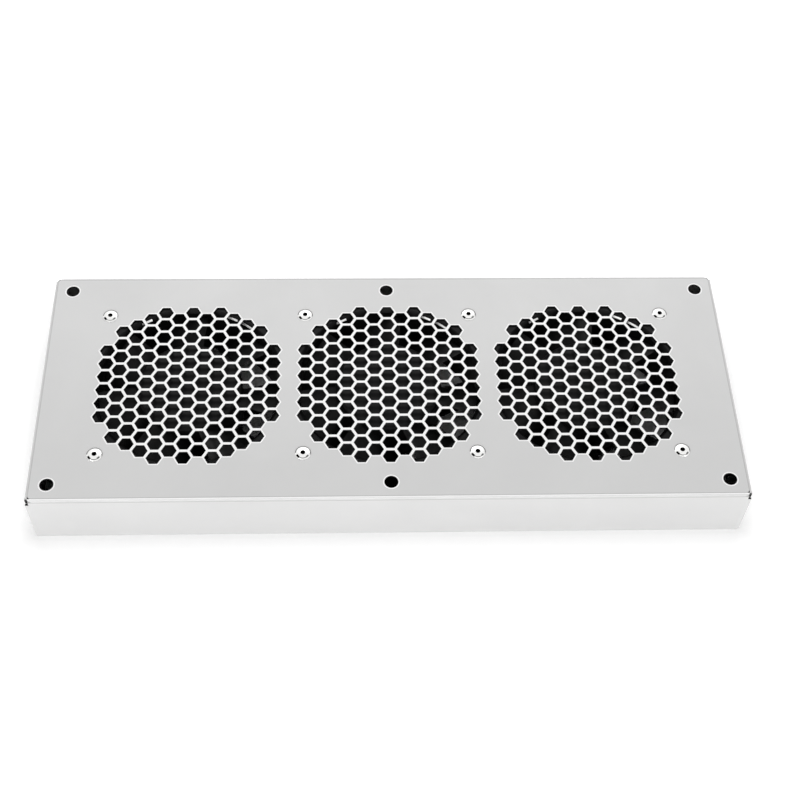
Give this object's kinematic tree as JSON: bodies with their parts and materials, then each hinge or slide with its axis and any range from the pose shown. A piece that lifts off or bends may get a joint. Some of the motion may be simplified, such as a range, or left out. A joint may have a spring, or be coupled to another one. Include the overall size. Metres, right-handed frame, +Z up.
{
  "type": "rack fan tray",
  "caption": "Shallow bent sheet tray with round hexagonal grilles and axial fans riveted beneath them.",
  "frame": {"origin": "under the centre of the tray, on the plane that its four flanges stand on", "axes": "+X along the tray to the end that holds the junction box, +Y to the rear side that holds the leads, +Z up through the grilles"},
  "size_m": [0.429, 0.1686, 0.0423],
  "materials": {
    "pan_coat": "light grey powder coat, satin, fine texture",
    "rivet_shell": "bright drawn aluminium",
    "rivet_pin": "dark broken steel",
    "fan_frame": "black enamel on die-cast aluminium",
    "fan_blade": "glossy black moulding",
    "motor_steel": "plain steel",
    "motor_magnet": "dark grey ferrite",
    "copper_turns": "enamelled copper wire",
    "bearing_metal": "sintered bronze",
    "black_plastic": "black moulded plastic",
    "lead_sleeve": "black flexible sleeve",
    "tie_plastic": "natural nylon",
    "zinc_steel": "zinc-plated steel",
    "tinned_brass": "tinned brass",
    "earth_sleeve": "green sleeve with a yellow stripe"
  },
  "bodies": {
    "tray": {"tray_shell": "pan_coat", "blind_rivets": "rivet_shell", "rivet_mandrels": "rivet_pin", "cable_ties": "tie_plastic", "junction_box": "black_plastic", "junction_lid": "black_plastic", "lid_screws": "zinc_steel", "box_studs": "zinc_steel", "box_nuts": "zinc_steel", "supply_bush": "lead_sleeve", "earth_stud": "zinc_steel", "earth_tag": "tinned_brass", "earth_washer": "zinc_steel", "earth_nut": "zinc_steel", "earth_lead": "earth_sleeve", "left_fan_housing": "fan_frame", "left_bearing": "bearing_metal", "left_stator_core": "motor_steel", "left_windings": "copper_turns", "left_motor_cap": "black_plastic", "left_terminal_insert": "black_plastic", "left_terminal_tabs": "tinned_brass", "left_lead_plug": "black_plastic", "left_lead": "lead_sleeve", "middle_fan_housing": "fan_frame", "middle_bearing": "bearing_metal", "middle_stator_core": "motor_steel", "middle_windings": "copper_turns", "middle_motor_cap": "black_plastic", "middle_terminal_insert": "black_plastic", "middle_terminal_tabs": "tinned_brass", "middle_lead_plug": "black_plastic", "middle_lead": "lead_sleeve", "right_fan_housing": "fan_frame", "right_bearing": "bearing_metal", "right_stator_core": "motor_steel", "right_windings": "copper_turns", "right_motor_cap": "black_plastic", "right_terminal_insert": "black_plastic", "right_terminal_tabs": "tinned_brass", "right_lead_plug": "black_plastic", "right_lead": "lead_sleeve"},
    "left_rotor": {"left_impeller": "fan_blade", "left_rotor_ring": "motor_magnet", "left_shaft": "motor_steel", "left_shaft_clip": "motor_steel"},
    "middle_rotor": {"middle_impeller": "fan_blade", "middle_rotor_ring": "motor_magnet", "middle_shaft": "motor_steel", "middle_shaft_clip": "motor_steel"},
    "right_rotor": {"right_impeller": "fan_blade", "right_rotor_ring": "motor_magnet", "right_shaft": "motor_steel", "right_shaft_clip": "motor_steel"}
  },
  "joints": [
    {"name": "left_fan_spin", "type": "hinge", "parent": "tray", "child": "left_rotor", "pos_m": [-0.124, 0, 0], "axis": [0, 0, 1], "continuous": true},
    {"name": "middle_fan_spin", "type": "hinge", "parent": "tray", "child": "middle_rotor", "pos_m": [0, 0, 0], "axis": [0, 0, 1], "continuous": true},
    {"name": "right_fan_spin", "type": "hinge", "parent": "tray", "child": "right_rotor", "pos_m": [0.124, 0, 0], "axis": [0, 0, 1], "continuous": true}
  ]
}
